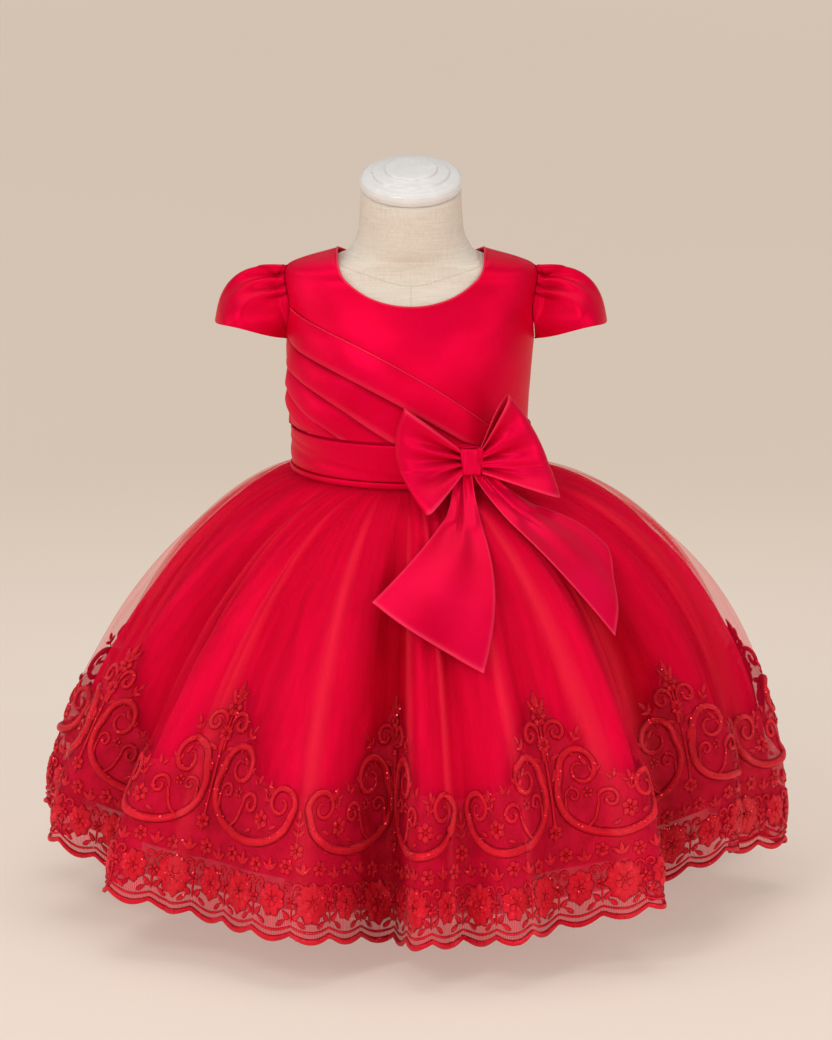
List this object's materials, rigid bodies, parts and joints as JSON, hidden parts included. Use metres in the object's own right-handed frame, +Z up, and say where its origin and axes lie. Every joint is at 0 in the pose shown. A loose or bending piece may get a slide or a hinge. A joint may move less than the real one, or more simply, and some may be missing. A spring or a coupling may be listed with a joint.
{
  "type": "toddler party dress on a dress form",
  "caption": "Red satin and tulle toddler party dress with a bow and a lace-bordered full skirt, worn by a small limbless dress form on a round base.",
  "frame": {"origin": "centre of the round base's underside", "axes": "+Z up, the dress's front towards -Y, the bow towards +X of the middle"},
  "size_m": [0.5552, 0.5379, 0.5587],
  "materials": {
    "satin": "satin sheen",
    "tulle": "sheer net",
    "lining": "smooth",
    "lace": "corded embroidery on net",
    "linen": "plain weave",
    "white_lacquer": "gloss",
    "steel": "brushed"
  },
  "bodies": {
    "root": {"bodice_front": "satin", "bodice_back_left": "satin", "bodice_back_right": "satin", "draped_panel": "satin", "sleeve_left": "satin", "sleeve_right": "satin", "sash": "satin", "sash_fold": "satin", "skirt_tulle_front": "tulle", "skirt_tulle_back": "tulle", "lace_border_front": "lace", "lace_border_back": "lace", "skirt_lining_front": "lining", "skirt_lining_back": "lining", "bow_loop_left": "satin", "bow_loop_right": "satin", "bow_knot": "satin", "bow_tail_left": "satin", "bow_tail_right": "satin", "form_body": "linen", "neck_cap": "white_lacquer", "form_pole": "steel", "form_base": "white_lacquer"}
  },
  "joints": []
}
